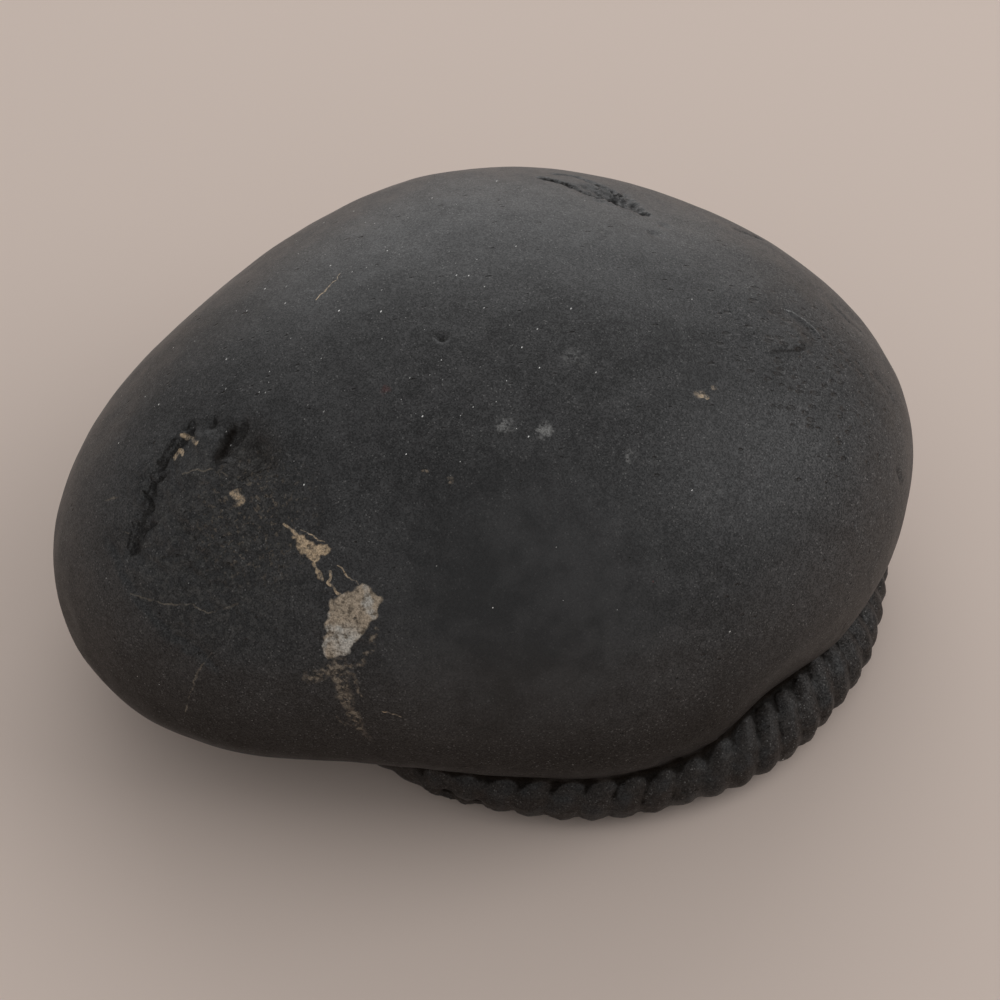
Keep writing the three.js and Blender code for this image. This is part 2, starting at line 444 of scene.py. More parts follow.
# rough skin: a cloudy pattern of lumps within a round patch
roughness = {
    "hollow": {"place": (-39, -18, 39.5), "radius": 14, "lump": 1.2, "height": 1},
    "scarp": {"place": (-42.5, -8.5, 41.5), "radius": 6, "lump": 0.7, "height": 1},
    "top crack": {"place": (22.3, 19, 48), "radius": 4.5, "lump": 0.7, "height": 1.6},
    "matrix lumps": {"place": (-13, -35, 4.5), "radius": 8, "lump": 2.5, "height": 2},
}

def toPath(points, path, stray=0.4, lump=1.0):
    # from the nearest place of the path to each point, in mm, after the point has strayed a little
    path = [np.array(place, float) for place in path]
    places = points / mm
    near = np.linalg.norm(places - path[len(path) // 2], axis=1) < 16
    places[near] += stray * np.array([noise.noise_vector(place / lump) for place in places[near]])
    offset = places - path[0]
    for start, end in zip(path, path[1:]):
        along = np.clip((places - start) @ (end - start) / ((end - start) @ (end - start)), 0, 1)
        other = places - start - along[:, None] * (end - start)
        nearer = np.linalg.norm(other, axis=1) < np.linalg.norm(offset, axis=1)
        offset[nearer] = other[nearer]
    return offset


def unit(way):
    return np.array(way) / np.linalg.norm(way)


def sink(piece, weight, depth):
    weigh(piece, weight)
    finishWith(piece, "DISPLACE", vertex_group="weight", strength=-depth * mm, mid_level=0)


def wearStone(piece):
    for flat in flats.values():
        above = pointsOf(piece) / mm - np.array(flat["place"])
        facing = unit(flat["facing"])
        height = above @ facing
        reach = np.linalg.norm(above, axis=1)
        top = np.max(height[reach < 3])
        sag = top - np.median(height[(reach > flat["radius"] * 0.97) & (reach < flat["radius"] * 1.03)])
        share = np.clip((height - top + sag) / sag, 0, 1) * (1 - smooth(reach / flat["radius"] - 0.25))
        sink(piece, share, sag * flat["share"])
    for ledge in ledges.values():
        offset = toPath(pointsOf(piece), ledge["path"], ledge["stray"])
        towards = unit(ledge["towards"])
        side = offset @ towards
        beyond = np.linalg.norm(offset - side[:, None] * towards, axis=1)
        weight = smooth(side / ledge["edge"]) * np.exp(-np.maximum(side, 0) / ledge["fade"])
        weight *= (1 - smooth(beyond / ledge["ends"]))
        weight[weight < 0.02] = 0
        sink(piece, weight, ledge["depth"])
    for crack in cracks.values():
        gap = np.linalg.norm(toPath(pointsOf(piece), crack["path"]), axis=1)
        sink(piece, 1 - smooth(gap / crack["reach"]), crack["depth"])
    for name, patch in roughness.items():
        pattern = bpy.data.textures.new(name, "CLOUDS")
        pattern.noise_scale = patch["lump"] * mm
        pattern.noise_depth = 3
        weigh(piece, 1 - smooth(np.linalg.norm(pointsOf(piece) / mm - patch["place"], axis=1) / patch["radius"]))
        finishWith(piece, "DISPLACE", texture=pattern, texture_coords="LOCAL", vertex_group="weight",
                   strength=patch["height"] * mm, mid_level=0.5)
    piece.vertex_groups.clear()


# slow waves over the whole stone, so that no part of it is a drawn curve
waves = {"length": 14 * mm, "height": 0.6 * mm}

def waveStone(piece):
    pattern = bpy.data.textures.new("waves", "CLOUDS")
    pattern.noise_scale = waves["length"]
    finishWith(piece, "DISPLACE", texture=pattern, texture_coords="LOCAL", strength=waves["height"], mid_level=0.5)


# ribs rubbed down where the ring stands out most, and lost in matrix by the mouth
wornRibs = {"from": -97, "to": -76, "blend": 6, "share": 0.35, "passes": 36, "mouthEnd": -125, "lump": 2.5, "chips": 0.45}

def wearRibs(piece):
    points = pointsOf(piece) / mm - np.array(shell["pole"]) / mm
    bearing = np.degrees(np.arctan2(points[:, 1], points[:, 0]))
    outside = smooth((np.hypot(points[:, 0], points[:, 1]) - 29) / 3) * (1 - smooth((points[:, 2] - 8) / 3))
    blend = wornRibs["blend"]
    worn = smooth((bearing - wornRibs["from"]) / blend) * smooth((wornRibs["to"] - bearing) / blend)
    lost = smooth((wornRibs["mouthEnd"] - bearing) / blend)
    weigh(piece, outside * np.maximum(worn * wornRibs["share"], lost))
    finishWith(piece, "SMOOTH", factor=0.5, iterations=wornRibs["passes"], vertex_group="weight")
    pattern = bpy.data.textures.new("chipped ribs", "CLOUDS")
    pattern.noise_scale = wornRibs["lump"] * mm
    pattern.noise_depth = 3
    weigh(piece, outside * (np.hypot(points[:, 0], points[:, 1]) < 42))
    finishWith(piece, "DISPLACE", texture=pattern, texture_coords="LOCAL", vertex_group="weight",
               strength=wornRibs["chips"] * mm, mid_level=0.5)


wearRibs(stone)
waveStone(stone)
wearStone(stone)
print("stone worn")
finishWith(stone, "DECIMATE", ratio=weld["triangles"] / sum(len(face.vertices) - 2 for face in stone.data.polygons))
editAll(stone)
bpy.ops.mesh.bisect(plane_co=(0, 0, 0), plane_no=(0, 0, 1), use_fill=True, clear_inner=True)
bpy.ops.mesh.select_all(action="SELECT")
bpy.ops.mesh.delete_loose()
leaveEdit()
bpy.ops.object.shade_smooth()
print("thinned to", sum(len(face.vertices) - 2 for face in stone.data.polygons), "triangles")


def markHollows(piece):
    # how far each point lies under the surface as it would be with its details worn off, in mm
    mesh = piece.data
    ends = np.empty(len(mesh.edges) * 2, int)
    mesh.edges.foreach_get("vertices", ends)
    ends = np.concatenate((ends.reshape(-1, 2), ends.reshape(-1, 2)[:, ::-1]))
    points = pointsOf(piece)
    normals = np.empty(points.size)
    mesh.vertices.foreach_get("normal", normals)
    settled = points.copy()
    count = np.maximum(np.bincount(ends[:, 0], minlength=len(points)), 1)
    for _ in range(24):
        for axis in range(3):
            total = np.bincount(ends[:, 0], weights=settled[ends[:, 1], axis], minlength=len(points))
            settled[:, axis] = total / count
    hollow = ((settled - points) * normals.reshape(-1, 3)).sum(axis=1) / mm
    mesh.attributes.new("hollow", "FLOAT", "POINT").data.foreach_set("value", hollow)
    mesh.attributes.new("corner", "FLOAT", "POINT").data.foreach_set("value", cornerOf(points, *trees))

markHollows(stone)


# ---- stone material: everything in mm on the stone itself

charcoal = {
    "dark": (0.0155, 0.0151, 0.0153, 1),
    "light": (0.0300, 0.0293, 0.0296, 1),
    "brown": (0.0240, 0.0165, 0.0125, 1),       # dust low down and on the lip, with painted warm bounce light from the ground
    "paintedShadowColour": (0.0060, 0.0042, 0.0030, 1),       # painted shade in cracks, in pits, between the ribs and under the body
    "hollow": (0.048, 0.046, 0.042, 1),
    "grain": 0.16,                              # size of the grains
    "grainShade": (0.68, 1.36),
    "grainLight": (0.16, 0.155, 0.15, 1),
    "speck": (0.9, 0.89, 0.86, 1),
    "roughness": (0.41, 0.53),
    "gloss": 0.38,
}

calcite = {
    "cream": (0.50, 0.375, 0.245, 1),
    "grey": (0.36, 0.29, 0.215, 1),
    "blueWhite": (0.46, 0.435, 0.39, 1),
    "shade": (0.12, 0.094, 0.066, 1),
    "tail": (0.22, 0.18, 0.135, 1),
    "brown": (0.085, 0.066, 0.048, 1),
}

# outlines of the calcite patches, and the way each faces
patches = {
    "cream": {"facing": (-0.55, -0.55, 0.63),
              "corners": ((-29.1, -23.2, 43.5), (-28.3, -25.1, 42.6), (-27.3, -26.5, 42.1), (-25, -26.2, 43.4),
                          (-25.1, -25.6, 43.7), (-28, -23.5, 43.8))},
    "grey": {"facing": (-0.45, -0.72, 0.53),
             "corners": ((-25.9, -30.1, 39.5), (-27.8, -32.9, 34.5), (-27.6, -33.8, 33.2), (-25, -34.4, 34.4),
                         (-20.9, -33.2, 38.8), (-20.3, -31.9, 40.5), (-22.3, -30.4, 41.1))},
}

# threads of calcite: a path, and half the width
threads = {
    "above the cream": (((-29.3, -21.2, 43.8), (-28.6, -22.2, 43.7), (-27.9, -23.5, 43.2)), 0.2),
    "below the cream": (((-27.3, -26.5, 42.1), (-26.5, -28.2, 41)), 0.25),
    "between the patches": (((-25.4, -27.9, 41.9), (-25.8, -28.7, 40.9), (-24.7, -30.4, 39.9)), 0.16),
    "right of it": (((-24.6, -27.6, 42.5), (-22.7, -30.1, 41.1)), 0.09),
    "over the cream": (((-27.9, -22.8, 44.2), (-25.4, -25, 43.9)), 0.08),
    "chip": (((-38.3, -5.2, 45.3), (-36.9, -7.6, 45.8)), 0.22),
    "lower chip": (((-40, -7.5, 44), (-39.2, -6.9, 44.6), (-38.9, -7.7, 44.7)), 0.25),
    "tan fleck": (((-34.3, -16, 44.9), (-33.7, -16.9, 44.6)), 0.55),
    "fleck on the dome": (((22.2, -18.9, 49.5), (22.9, -19.3, 49.2)), 0.22),
    "row on the dome": (((-15.2, 9.2, 52.8), (-16.9, 7.6, 52.7), (-18.7, 6.1, 52.4)), 0.08),
    "row beside the tail": (((-22, -38.1, 27), (-19.9, -39, 26.4)), 0.08),
}

# the tail below the patches: wider, browner and broken up
tail = {
    "fan": (((-26, -34.4, 33), (-26.2, -35.3, 30.9), (-25.8, -36.3, 28.2)), 0.8),
    "left": (((-27, -34.3, 32.2), (-29.4, -34, 30.6)), 0.7),
    "right": (((-25.6, -34.7, 33.1), (-24.9, -35.1, 32.8), (-23.4, -35.4, 33.5), (-22.5, -35.1, 35), (-21.6, -34.3, 37)), 0.28),
    "beside": (((-24.9, -35.5, 31.8), (-24.4, -36.2, 30.6), (-24.3, -36.7, 29.2)), 0.3),
    "knot": (((-25.5, -36.7, 26.9), (-25, -37.2, 24.8)), 0.75),
    "left of the knot": (((-27.1, -36.4, 25.2), (-26.2, -36.8, 24.2)), 0.16),
    "thread down": (((-24.8, -37.4, 23.9), (-23.6, -37.7, 21.4)), 0.4),
}

hairlines = {
    "upper left": ((-48.4, -5.9, 37.1), (-46.6, -7.1, 38.8), (-44.3, -8.1, 40.7)),
    "left": ((-49.1, -8.7, 35.7), (-46.8, -11.8, 37.1)),
    "across the hollow": ((-47.8, -17.3, 32.3), (-44.6, -20.7, 33.4), (-41.7, -22.6, 34.8), (-40.2, -24.3, 34.6),
                          (-37.5, -25.5, 36), (-36.6, -25.5, 36.8)),
    "down the flank": ((-40.2, -27.1, 30.5), (-41.7, -27.1, 28), (-43, -27.1, 24.4), (-43.9, -26.8, 20)),
    "arc": ((-39.4, -10.1, 43.8), (-37.7, -10.8, 44.7), (-35.5, -11.9, 45.2), (-34.4, -13.6, 45.7)),
}

# dark lines where a step or a crack shades itself: a path, and half the width
darkLines = {
    "scarp head": (((-36.7, -4.1, 46.1), (-37.6, -4.8, 45.5)), 0.12),
    "scarp": (((-39.2, -5.1, 44.7), (-41.6, -6.8, 42.7)), 0.2),
    "lower scarp": (((-42.4, -7.4, 42), (-44.5, -10.4, 39.8)), 0.14),
    "step": (((-44, -8.9, 40.8), (-43.7, -9.9, 40.2), (-43.4, -10.8, 39.5)), 0.12),
    "shelf": (((-46.1, -11.1, 38), (-45.6, -12.4, 37.5), (-43.6, -12.5, 38.4)), 0.14),
    "scarp end": (((-46.5, -11.9, 37.4), (-47.3, -13.1, 36)), 0.12),
    "line under the dent": (((-33.3, -14.4, 45.4), (-31.8, -14.6, 46.2), (-28.7, -15.1, 47.5)), 0.08),
}

slot = ((-32.4, -8.1, 47.1), (-33.4, -9.1, 46.3), (-34.4, -10.3, 45.5))

# the same on the broad end
farDarkLines = {
    "top crack": (((14.6, 25.1, 47.9), (17.7, 22.1, 48.4), (19.3, 19.3, 48.6), (21.5, 18, 48.3), (25.2, 14, 48.4)), 0.3),
    "further edge": (((17, 26.9, 46.3), (19.7, 26.4, 45.8), (21.5, 23.2, 46.8), (24.5, 18.7, 47.5)), 0.22),
}
# lines round the raised chip on the broad end: a painted highlight along its rim, a painted shadow under it
bumpLines = {
    "rim": ((38, -4.1, 45.8), (39, -4.4, 45.4), (40.2, -5.2, 44.7), (41.2, -6.2, 44), (41.7, -7.5, 43.6)),
    "under": ((33.2, -12.2, 47.4), (35, -11.8, 46.7), (37.1, -11.2, 45.6), (38.4, -10.6, 45)),
}

# small marks: colour, then place, reach and strength of each
marks = {
    "pale": ((0.2, 0.197, 0.19, 1), (((-2.2, -19.6, 51.7), 1.6, 0.6), ((2.3, -21.2, 51.3), 1.5, 0.8),
                                        ((11.4, -25.5, 48.9), 1.3, 0.4), ((8.2, -12.6, 53), 2.2, 0.25))),
    "tan": ((0.26, 0.205, 0.15, 1), (((-12.4, -22.2, 49.5), 0.5, 0.8), ((-9.9, -24, 49), 0.6, 0.8),
                                     ((22.1, -18.8, 49.6), 0.9, 0.9), ((24.1, -18, 49.3), 0.5, 0.7),
                                     ((25.8, -23.3, 46.8), 0.4, 0.7))),
    "red": ((0.085, 0.022, 0.018, 1), (((-14.5, -11.6, 52.7), 0.9, 0.45), ((10.9, -37.6, 39.9), 0.3, 0.9))),
    "dark": ((0.0075, 0.0072, 0.0072, 1), (((-6.3, -6.4, 54.2), 0.9, 0.8), ((7.6, -1.9, 54.7), 2, 0.5), ((20.9, 2, 52.3), 2.2, 0.5),
                                           ((20.4, -9.7, 52.1), 2.4, 0.5), ((14.6, -14.6, 52.3), 2.6, 0.5),
                                           ((22.5, 19.5, 48), 3, 0.5), ((39.2, -8.6, 44.9), 2.2, 0.7))),
}

tree = None

def link(value, socket):
    # a number, a colour or another node's output into a socket
    if isinstance(value, bpy.types.NodeSocket):
        tree.links.new(value, socket)
    else:
        socket.default_value = value


def calc(operation, first, second=0.0):
    node = tree.nodes.new("ShaderNodeMath")
    node.operation = operation
    link(first, node.inputs[0])
    link(second, node.inputs[1])
    return node.outputs["Value"]


def vector(operation, first, second=(0, 0, 0), out="Vector"):
    node = tree.nodes.new("ShaderNodeVectorMath")
    node.operation = operation
    link(first, node.inputs[0])
    link(second, node.inputs["Scale" if operation == "SCALE" else 1])
    return node.outputs[out]


def ease(value, start, end, low=0.0, high=1.0):
    node = tree.nodes.new("ShaderNodeMapRange")
    node.interpolation_type = "SMOOTHSTEP"
    for name, setting in (("Value", value), ("From Min", start), ("From Max", end), ("To Min", low), ("To Max", high)):
        link(setting, node.inputs[name])
    return node.outputs["Result"]


def blend(amount, below, above, kind="MIX"):
    node = tree.nodes.new("ShaderNodeMix")
    node.data_type = "RGBA"
    node.blend_type = kind
    link(amount, node.inputs[0])
    link(below, node.inputs[6])
    link(above, node.inputs[7])
    return node.outputs[2]


def clouds(place, size, detail=2.0, roughness=0.5, out="Fac"):
    node = tree.nodes.new("ShaderNodeTexNoise")
    link(place, node.inputs["Vector"])
    node.inputs["Scale"].default_value = 1 / size
    node.inputs["Detail"].default_value = detail
    node.inputs["Roughness"].default_value = roughness
    return node.outputs[out]


def cells(place, size, out="Distance"):
    node = tree.nodes.new("ShaderNodeTexVoronoi")
    link(place, node.inputs["Vector"])
    node.inputs["Scale"].default_value = 1 / size
    return node.outputs[out], node.outputs["Color"]


def within(place, centre, full, none):
    # 1 near the centre, 0 from the further distance on
    return ease(vector("DISTANCE", place, centre, "Value"), full, none, 1.0, 0.0)


def gapToLine(place, path):
    gap = None
    for start, end in zip(path, path[1:]):
        start, end = Vector(start), Vector(end)
        span = end - start
        ahead = vector("SUBTRACT", place, start)
        share = vector("DOT_PRODUCT", ahead, span / span.length_squared, "Value")
        share = calc("MINIMUM", calc("MAXIMUM", share, 0.0), 1.0)
        along = vector("SCALE", tuple(span), share)
        off = vector("DISTANCE", ahead, along, "Value")
        gap = off if gap is None else calc("MINIMUM", gap, off)
    return gap


def insideOutline(place, patch):
    # how far inside the edges of an outline, in mm
    facing = Vector(patch["facing"]).normalized()
    corners = [Vector(corner) for corner in patch["corners"]]
    middle = sum(corners, Vector()) / len(corners)
    depth = calc("SUBTRACT", 6.0, vector("DISTANCE", place, middle, "Value"))
    for start, end in zip(corners, corners[1:] + corners[:1]):
        inward = facing.cross(end - start).normalized()
        if (middle - start).dot(inward) < 0:
            inward.negate()
        edge = calc("SUBTRACT", vector("DOT_PRODUCT", place, inward, "Value"), start.dot(inward))
        depth = calc("MINIMUM", depth, edge)
    return depth


def flatten(place, facing):
    # laid on a plane, so that a line on the surface is found however deep it lies
    facing = Vector(facing).normalized()
    return vector("SUBTRACT", place, vector("SCALE", tuple(facing), vector("DOT_PRODUCT", place, facing, "Value")))


def gapToAny(place, facing, paths):
    # distance to the nearest of the paths, over its half width, with all laid on one plane
    facing = Vector(facing).normalized()
    nearest = None
    for path, half in paths:
        laid = [Vector(end) - facing * facing.dot(Vector(end)) for end in path]
        share = calc("DIVIDE", gapToLine(place, laid), half)
        nearest = share if nearest is None else calc("MINIMUM", nearest, share)
    return nearest


def parts(colour):
    node = tree.nodes.new("ShaderNodeSeparateColor")
    link(colour, node.inputs[0])
    return node.outputs["Red"], node.outputs["Green"], node.outputs["Blue"]


def attribute(name):
    node = tree.nodes.new("ShaderNodeAttribute")
    node.attribute_name = name
    return node.outputs["Fac"]


def spread(point, scale, turn=0.0):
    node = tree.nodes.new("ShaderNodeMapping")
    link(point, node.inputs["Vector"])
    node.inputs["Rotation"].default_value = (0, 0, turn)
    node.inputs["Scale"].default_value = scale
    return node.outputs["Vector"]


def joined(*values, kind="XYZ"):
    # three numbers as one vector or colour
    node = tree.nodes.new("ShaderNodeCombine" + kind)
    for value, socket in zip(values, node.inputs):
        link(value, socket)
    return node.outputs[0]


def grains(place, size):
    # three random values, the same all over each small block of the stone
    node = tree.nodes.new("ShaderNodeTexWhiteNoise")
    link(vector("SNAP", place, (size, size, size)), node.inputs["Vector"])
    return parts(node.outputs["Color"])


def spotsOf(place, spots):
    # the strongest of several round spots: place, reach and strength of each
    here = None
    for centre, reach, strength in spots:
        spot = ease(vector("DISTANCE", place, centre, "Value"), reach * 0.3, reach, strength, 0.0)
        here = spot if here is None else calc("MAXIMUM", here, spot)
    return here


def makeStoneMaterial():
    global tree
    material = bpy.data.materials.new("charcoal limestone")
    material.use_nodes = True
    tree = material.node_tree
    shader = tree.nodes["Principled BSDF"]
    coordinates = tree.nodes.new("ShaderNodeTexCoord")
    place = vector("SCALE", coordinates.outputs["Object"], 1000.0)
    finely = spread(coordinates.outputs["Object"], (1000, 1000, 1000))
    node = tree.nodes.new("ShaderNodeSeparateXYZ")
    link(place, node.inputs[0])
    across, height = node.outputs["X"], node.outputs["Z"]

    # where the surface differs
    hollow = within(place, (-37.5, -18, 40), 9.0, 16.0)
    polish = within(place, (-4, -36, 38), 6.0, 24.0)
    speckled = within(place, (-18, 6, 50), 16.0, 38.0)
    porous = within(place, (38, -12, 44), 5.0, 20.0)
    flank = within(place, (-38, -22, 35), 22.0, 26.0)
    low = ease(height, 28.0, 5.0)
    ringed = ease(height, 16.0, 11.0)             # low enough to be on the ring
    relative = attribute("hollow")
    # sunk: the grooves between the ribs; tucked: the corner under the body; both take painted shade below
    sunk = calc("MULTIPLY", ease(relative, ease(height, 16.0, 11.0, 0.08, -0.02), 0.24), ease(height, 16.0, 11.0, 0.5, 1.0))
    proud = calc("MULTIPLY", ease(relative, -0.08, -0.36), ringed)
    tucked = attribute("corner")

    # the patterns: slow clouds, small clouds, rough skin, grit, grains, and a wandering place for ragged edges
    slow = clouds(finely, 14.0, 1.0)
    small = clouds(finely, 3.0, 2.0)
    skin = clouds(finely, 0.9, 2.0, 0.6)
    grit = clouds(finely, 0.6, 2.0, 0.6)
    wander = vector("SUBTRACT", joined(*parts(clouds(finely, 1.2, 1.0, 0.6, "Color"))), (0.5, 0.5, 0.5))
    web = calc("ADD", calc("MULTIPLY", grit, 0.5), calc("MULTIPLY", skin, 0.5))
    ragged = vector("ADD", place, vector("SCALE", wander, 1.5))
    laid = flatten(vector("ADD", place, vector("SCALE", wander, 0.9)), (-0.45, -0.55, 0.7))
    laidLow = flatten(vector("ADD", place, vector("SCALE", wander, 1.8)), (-0.4, -0.85, 0.35))

    # charcoal, in clouds
    drift = calc("ADD", calc("MULTIPLY", slow, 0.5), calc("MULTIPLY", small, 0.5))
    colour = blend(ease(drift, 0.38, 0.62), charcoal["dark"], charcoal["light"])
    scuffed = calc("SUBTRACT", 0.5, calc("MULTIPLY", polish, 0.45))
    colour = blend(calc("MULTIPLY", ease(skin, 0.5, 0.68), scuffed), colour, (0.046, 0.045, 0.0455, 1))

    # crests of the ribs lighter: rubbed clean, and a painted highlight where they catch the light
    colour = blend(calc("MULTIPLY", proud, 0.6), colour, (0.034, 0.035, 0.037, 1))

    # brown low down: dust, with painted warm bounce light from the ground; painted shade low on the front, under the
    # lip and in the dent
    dustAndBounce = calc("MULTIPLY", low, ease(small, 0.3, 0.6))
    colour = blend(calc("MULTIPLY", dustAndBounce, 0.75), colour, charcoal["brown"])
    # painted shade: the low front darkened where the ground shades it
    front = calc("MULTIPLY", ease(height, 34.0, 14.0), ease(across, 44.0, 14.0, 0.9, 1.0))
    front = calc("MULTIPLY", front, calc("SUBTRACT", 1.0, calc("MULTIPLY", ringed, 0.5)))
    colour = blend(calc("MULTIPLY", front, 0.9), colour, (0.0075, 0.0052, 0.0037, 1))
    # painted shade in the thumb dent
    dent = within(place, (-31, -12.5, 47), 1.5, 5.5)
    colour = blend(calc("MULTIPLY", dent, 0.8), colour, (0.0105, 0.0080, 0.0064, 1))

    # hollow: greyer, mottled, with tan flecks strewn towards the patches
    colour = blend(calc("MULTIPLY", calc("MULTIPLY", hollow, ease(skin, 0.44, 0.66)), 0.5), colour, charcoal["hollow"])
    strewn = within(place, (-33, -19, 43.5), 3.0, 11.0)
    flecks = calc("MULTIPLY", ease(grit, 0.56, 0.68), strewn)
    colour = blend(calc("MULTIPLY", flecks, 0.55), colour, (0.14, 0.112, 0.082, 1))
    for name, (spotColour, spots) in marks.items():
        spot = spotsOf(ragged, spots)
        if name in ("pale", "tan"):
            spot = calc("MULTIPLY", spot, ease(web, 0.44, 0.58))
        colour = blend(spot, colour, spotColour)

    # steps and cracks that shade themselves
    near = ease(gapToAny(laid, (-0.45, -0.55, 0.7), darkLines.values()), 0.5, 2.2, 1.0, 0.0)
    near = calc("MULTIPLY", near, ease(grit, 0.62, 0.44, 0.2, 0.65))
    slotHere = ease(gapToAny(laid, (-0.45, -0.55, 0.7), ((slot, 0.4),)), 0.0, 3.4, 0.95, 0.0)
    near = calc("MULTIPLY", calc("MAXIMUM", near, slotHere), flank)
    far = None
    for path, half in farDarkLines.values():
        gap = calc("DIVIDE", gapToLine(ragged, path), half)
        far = gap if far is None else calc("MINIMUM", far, gap)
    far = calc("MULTIPLY", ease(far, 0.6, 2.2, 1.0, 0.0), ease(grit, 0.60, 0.44, 0.2, 0.8))
    # painted shade in the grooves, in the corner under the body, and along the steps and cracks
    paintedShade = calc("MAXIMUM", sunk, calc("MULTIPLY", tucked, 0.75))
    end = within(place, (38, -8, 45), 6.0, 8.0)
    bump = flatten(place, (0.5, -0.2, 0.84))
    # painted shadow: a dark line under the raised chip
    under = ease(gapToAny(bump, (0.5, -0.2, 0.84), ((bumpLines["under"], 0.14),)), 0.2, 3.0, 0.6, 0.0)
    far = calc("MAXIMUM", far, calc("MULTIPLY", under, end))
    paintedShade = calc("MAXIMUM", paintedShade, calc("MAXIMUM", near, far))
    colour = blend(paintedShade, colour, charcoal["paintedShadowColour"])
    # painted highlight: a pale line along the rim of the raised chip
    rim = ease(gapToAny(bump, (0.5, -0.2, 0.84), ((bumpLines["rim"], 0.07),)), 0.8, 2.2, 1.0, 0.0)
    colour = blend(calc("MULTIPLY", calc("MULTIPLY", rim, end), 0.6), colour, (0.17, 0.17, 0.167, 1))

    # hairlines
    hair = ease(gapToAny(laid, (-0.45, -0.55, 0.7), [(path, 0.1) for path in hairlines.values()]), 0.5, 1.5, 1.0, 0.0)
    hair = calc("MULTIPLY", calc("MULTIPLY", hair, ease(small, 0.36, 0.54)), flank)
    colour = blend(calc("MULTIPLY", hair, 0.8), colour, (0.125, 0.106, 0.083, 1))

    # threads, tail and patches of calcite
    thread = ease(gapToAny(laid, (-0.45, -0.55, 0.7), threads.values()), 0.6, 1.3, 1.0, 0.0)
    thread = calc("MULTIPLY", thread, ease(grit, 0.32, 0.48, 0.4, 1.0))
    colour = blend(calc("MULTIPLY", thread, 0.85), colour, blend(ease(grit, 0.4, 0.62), calcite["tail"], calcite["cream"]))
    below = ease(gapToAny(laidLow, (-0.4, -0.85, 0.35), tail.values()), 0.2, 1.6, 1.0, 0.0)
    below = calc("MULTIPLY", calc("MULTIPLY", below, ease(web, 0.4, 0.54)), flank)
    colour = blend(calc("MULTIPLY", below, 0.8), colour, blend(ease(grit, 0.46, 0.62), calcite["brown"], calcite["tail"]))
    creamHere = ease(insideOutline(ragged, patches["cream"]), -0.1, 0.25)
    colour = blend(creamHere, colour, blend(ease(web, 0.34, 0.54), calcite["shade"], calcite["cream"]))
    greyHere = ease(insideOutline(ragged, patches["grey"]), -0.1, 0.25)
    white = calc("MAXIMUM", within(place, (-25, -34, 35.5), 0.5, 3.2), ease(small, 0.5, 0.62))
    vein = blend(white, calcite["grey"], calcite["blueWhite"])
    vein = blend(ease(web, 0.54, 0.36), vein, calcite["shade"])
    colour = blend(greyHere, colour, vein)

    # white specks, thickest on the upper left and a little drawn out
    turned = spread(coordinates.outputs["Object"], (1, 1, 1), -45 * degree)
    speckGap, speckHue = cells(spread(turned, (480, 1000, 1000)), 0.8)
    chance, whiteness, size = parts(speckHue)
    bar = ease(speckled, 0.0, 1.0, 0.96, 0.3)
    reach = calc("ADD", 0.045, calc("MULTIPLY", calc("POWER", size, 2.0), 0.085))
    speck = calc("MULTIPLY", ease(speckGap, calc("MULTIPLY", reach, 0.7), reach, 1.0, 0.0), calc("GREATER_THAN", chance, bar))
    speck = calc("MULTIPLY", speck, calc("SUBTRACT", 1.0, paintedShade))
    colour = blend(speck, colour, blend(whiteness, (0.13, 0.128, 0.124, 1), charcoal["speck"]))

    # pits, long and fine on the broad end, darkened with painted shade
    pitGap, pitHue = cells(spread(coordinates.outputs["Object"], (500, 1000, 800)), 0.9)
    pitChance, pitSize, _ = parts(pitHue)
    pitRadius = calc("MULTIPLY", calc("SUBTRACT", calc("ADD", 0.5, calc("MULTIPLY", porous, 0.7)), calc("MULTIPLY", polish, 0.4)), calc("ADD", 0.07, calc("MULTIPLY", pitSize, 0.2)))
    pit = calc("MULTIPLY", ease(pitGap, pitRadius, calc("MULTIPLY", pitRadius, 2.0), 1.0, 0.0),
               calc("GREATER_THAN", pitChance, ease(porous, 0.0, 1.0, 0.8, 0.35)))
    colour = blend(calc("MULTIPLY", pit, 0.75), colour, charcoal["paintedShadowColour"])

    # fine grain over it all
    grainOne, grainTwo, grainThree = grains(place, charcoal["grain"])
    grainFade = calc("SUBTRACT", ease(across, 22.0, 42.0, 0.9, 1.3), calc("MULTIPLY", polish, 0.7))
    grain = calc("POWER", ease(grainOne, 0.0, 1.0, *charcoal["grainShade"]), grainFade)
    light = calc("MULTIPLY", ease(grainTwo, 0.93, 1.0), calc("MULTIPLY", ease(small, 0.3, 0.6, 0.3, 1.0), grainFade))
    light = calc("MULTIPLY", light, calc("SUBTRACT", 0.5, calc("MULTIPLY", paintedShade, 0.5)))
    colour = blend(light, colour, charcoal["grainLight"])
    colour = blend(1.0, colour, joined(grain, grain, grain, kind="Color"), "MULTIPLY")

    link(colour, shader.inputs["Base Color"])
    rough = calc("ADD", small, calc("MULTIPLY", hollow, 0.2))
    rough = calc("SUBTRACT", rough, calc("MULTIPLY", polish, 0.15))
    link(ease(rough, 0.25, 0.8, *charcoal["roughness"]), shader.inputs["Roughness"])
    # less gloss where shade is painted and low on the front
    dull = calc("SUBTRACT", 1.0, calc("MULTIPLY", calc("MAXIMUM", paintedShade, calc("MULTIPLY", front, 0.75)), 0.85))
    link(calc("MULTIPLY", calc("MULTIPLY", grain, dull), charcoal["gloss"]), shader.inputs["Specular IOR Level"])

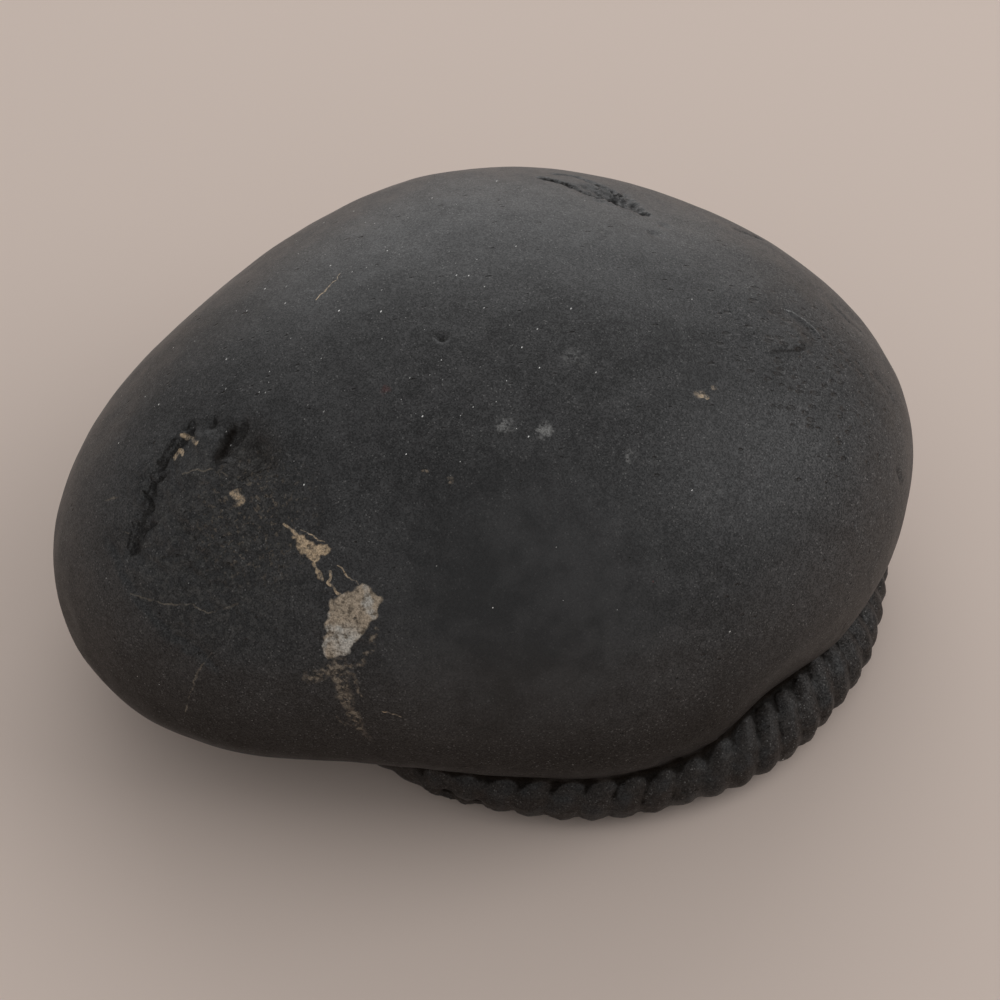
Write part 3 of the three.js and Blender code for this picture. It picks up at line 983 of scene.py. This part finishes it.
    # relief in mm
    patched = within(place, (-24.5, -31.5, 38.5), 3.5, 5.0)
    depth = calc("ADD", calc("MULTIPLY", hollow, 0.2), calc("ADD", 0.012, calc("MULTIPLY", patched, 0.25)))
    relief = calc("ADD", calc("MULTIPLY", grainThree, calc("MULTIPLY", grainFade, 0.006)), calc("MULTIPLY", skin, depth))
    relief = calc("SUBTRACT", relief, calc("MULTIPLY", pit, 0.15))
    bump = tree.nodes.new("ShaderNodeBump")
    bump.inputs["Distance"].default_value = mm
    link(relief, bump.inputs["Height"])
    link(bump.outputs["Normal"], shader.inputs["Normal"])
    return material

stone.data.materials.clear()
stone.data.materials.append(makeStoneMaterial())


# ---- floor, light and camera

studio = {
    "floorColour": (0.72, 0.60, 0.53, 1),
    "window": {"place": (0.22, 0.87, 0.4), "size": 1, "power": 3.6},
    "front": {"place": (0.6, -0.15, 0.5), "size": 0.6, "power": 1.5},
    "sky": 0.48,
}

def aimAt(thing, target):
    thing.rotation_euler = (Vector(target) - thing.location).to_track_quat("-Z", "Y").to_euler()


def makeStudio():
    bpy.ops.mesh.primitive_plane_add(size=6, location=(0, 0, 0))
    ground = bpy.context.object
    ground.name = "floor"
    material = bpy.data.materials.new("pale floor")
    material.use_nodes = True
    shader = material.node_tree.nodes["Principled BSDF"]
    shader.inputs["Base Color"].default_value = studio["floorColour"]
    shader.inputs["Roughness"].default_value = 0.9
    ground.data.materials.append(material)
    for name in ("window", "front"):
        lamp = studio[name]
        bpy.ops.object.light_add(type="AREA", location=lamp["place"])
        light = bpy.context.object
        light.name = name
        light.data.size = lamp["size"]
        light.data.energy = lamp["power"]
        aimAt(light, (0, 0, 0.02))
    world = bpy.data.worlds.new("studio")
    bpy.context.scene.world = world
    world.use_nodes = True
    world.node_tree.nodes["Background"].inputs["Color"].default_value = (1, 1, 1, 1)
    world.node_tree.nodes["Background"].inputs["Strength"].default_value = studio["sky"]
    bpy.context.scene.view_settings.view_transform = "Standard"


view = {
    "azimuth": -15 * degree,
    "elevation": 48 * degree,
    "distance": 357 * mm,
    "aim": (1.3 * mm, -4.5 * mm, 21.4 * mm),
    "lens": 100,
}

def makeCamera():
    azimuth, elevation = view["azimuth"], view["elevation"]
    back = Vector((math.sin(azimuth) * math.cos(elevation), -math.cos(azimuth) * math.cos(elevation),
                   math.sin(elevation)))
    bpy.ops.object.camera_add(location=Vector(view["aim"]) + back * view["distance"])
    camera = bpy.context.object
    camera.data.lens = view["lens"]
    camera.data.sensor_width = 36
    camera.data.clip_start = 0.01
    aimAt(camera, view["aim"])
    bpy.context.scene.camera = camera


makeStudio()
makeCamera()
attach(stone, "root")
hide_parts("ammonite_nodule")
bpy.context.view_layer.update()
